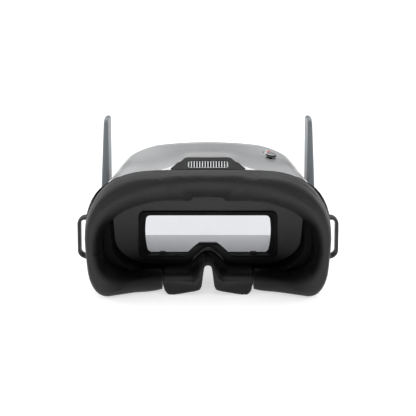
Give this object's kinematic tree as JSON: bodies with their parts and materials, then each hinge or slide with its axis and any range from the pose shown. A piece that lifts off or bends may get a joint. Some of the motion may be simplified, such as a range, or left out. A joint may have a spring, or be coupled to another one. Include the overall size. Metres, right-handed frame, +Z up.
{
  "type": "fpv goggles",
  "caption": "Box-type video goggles with a soft face foam, one wide lens over a display, folding blade antennas, swinging strap loops and roof controls.",
  "frame": {"origin": "middle of the bounding box at its lowest plane, which is the floor the goggles stand on", "axes": "+X is the wearer's right, -Y points to the wearer's face, +Z is up"},
  "size_m": [0.2078, 0.112, 0.1309],
  "materials": {
    "silver_plastic": "satin",
    "black_plastic": "matte",
    "foam_skin": "matte",
    "soft_rubber": "matte",
    "antenna_plastic": "satin",
    "clear_lens": "gloss",
    "pale_plastic": "matte",
    "screen": "gloss",
    "silver_trim": "satin",
    "aluminium": "satin",
    "steel": "satin",
    "circuit_board": "satin",
    "red_plastic": "gloss"
  },
  "bodies": {
    "goggles": {"antenna_lead_left": "black_plastic", "antenna_lead_right": "black_plastic", "antenna_pivot_left": "steel", "antenna_pivot_right": "steel", "av_jack": "black_plastic", "backlight_unit": "pale_plastic", "board_screw_1": "steel", "board_screw_2": "steel", "board_screw_3": "steel", "board_screw_4": "steel", "bracket_screw_1": "steel", "bracket_screw_2": "steel", "bracket_screw_3": "steel", "bracket_screw_4": "steel", "card_slot": "black_plastic", "control_board": "circuit_board", "control_screw_1": "steel", "control_screw_2": "steel", "cover_screw_1": "steel", "cover_screw_2": "steel", "cover_screw_3": "steel", "cover_screw_4": "steel", "dc_jack": "black_plastic", "display_bracket": "aluminium", "display_flex": "black_plastic", "display_panel": "screen", "face_carrier": "black_plastic", "fan_frame": "black_plastic", "foam_cushion": "foam_skin", "front_cover": "silver_plastic", "front_panel": "black_plastic", "heat_sink": "aluminium", "joystick_base": "black_plastic", "lens": "clear_lens", "lens_clip_left": "black_plastic", "lens_clip_right": "black_plastic", "lens_frame": "black_plastic", "lens_gasket": "soft_rubber", "light_tunnel": "pale_plastic", "loop_pin_left": "steel", "loop_pin_right": "steel", "main_board": "circuit_board", "main_housing": "silver_plastic", "nose_guard": "soft_rubber", "record_switch": "black_plastic", "shield_can": "aluminium", "usb_port": "black_plastic", "vent_cover": "black_plastic", "vent_grille": "silver_trim"},
    "left_antenna": {"antenna_left": "antenna_plastic"},
    "right_antenna": {"antenna_right": "antenna_plastic"},
    "left_strap_loop": {"strap_loop_left": "black_plastic"},
    "right_strap_loop": {"strap_loop_right": "black_plastic"},
    "record_key": {"record_button": "silver_plastic", "record_dot": "red_plastic"},
    "stick_gimbal": {"joystick_gimbal": "steel"},
    "stick_rocker": {"joystick_rocker": "black_plastic"},
    "stick": {"joystick_stick": "black_plastic", "joystick_cap": "silver_trim"},
    "fan": {"fan_rotor": "black_plastic"}
  },
  "joints": [
    {"name": "left_antenna_fold", "type": "hinge", "parent": "goggles", "child": "left_antenna", "pos_m": [-0.0814, 0.005, 0.046], "axis": [-0.9972, 0, 0.075], "range_deg": [-10, 90]},
    {"name": "right_antenna_fold", "type": "hinge", "parent": "goggles", "child": "right_antenna", "pos_m": [0.0814, 0.005, 0.046], "axis": [-0.9972, 0, -0.075], "range_deg": [-10, 90]},
    {"name": "left_loop_swing", "type": "hinge", "parent": "goggles", "child": "left_strap_loop", "pos_m": [-0.0919, -0.024, 0.0413], "axis": [-0.0872, 0, -0.9962], "range_deg": [-25, 60]},
    {"name": "right_loop_swing", "type": "hinge", "parent": "goggles", "child": "right_strap_loop", "pos_m": [0.0919, -0.024, 0.0413], "axis": [-0.0872, 0, 0.9962], "range_deg": [-25, 60]},
    {"name": "record_press", "type": "slide", "parent": "goggles", "child": "record_key", "axis": [-0.1219, 0, -0.9925], "range_m": [0, 0.0008], "stiffness_N_per_m": 300},
    {"name": "stick_fore_aft", "type": "hinge", "parent": "goggles", "child": "stick_gimbal", "pos_m": [0.05042, 0.016, 0.0864], "axis": [0.9925, 0, -0.1219], "range_deg": [-7, 7], "stiffness_Nm_per_rad": 0.02},
    {"name": "stick_side_to_side", "type": "hinge", "parent": "stick_gimbal", "child": "stick_rocker", "pos_m": [0.05042, 0.016, 0.0864], "axis": [0, 1, 0], "range_deg": [-7, 7], "stiffness_Nm_per_rad": 0.02},
    {"name": "stick_press", "type": "slide", "parent": "stick_rocker", "child": "stick", "axis": [-0.1219, 0, -0.9925], "range_m": [0, 0.0004], "stiffness_N_per_m": 400},
    {"name": "fan_spin", "type": "hinge", "parent": "goggles", "child": "fan", "pos_m": [0, -0.0052, 0.0792], "axis": [0, 1, 0], "continuous": true}
  ]
}
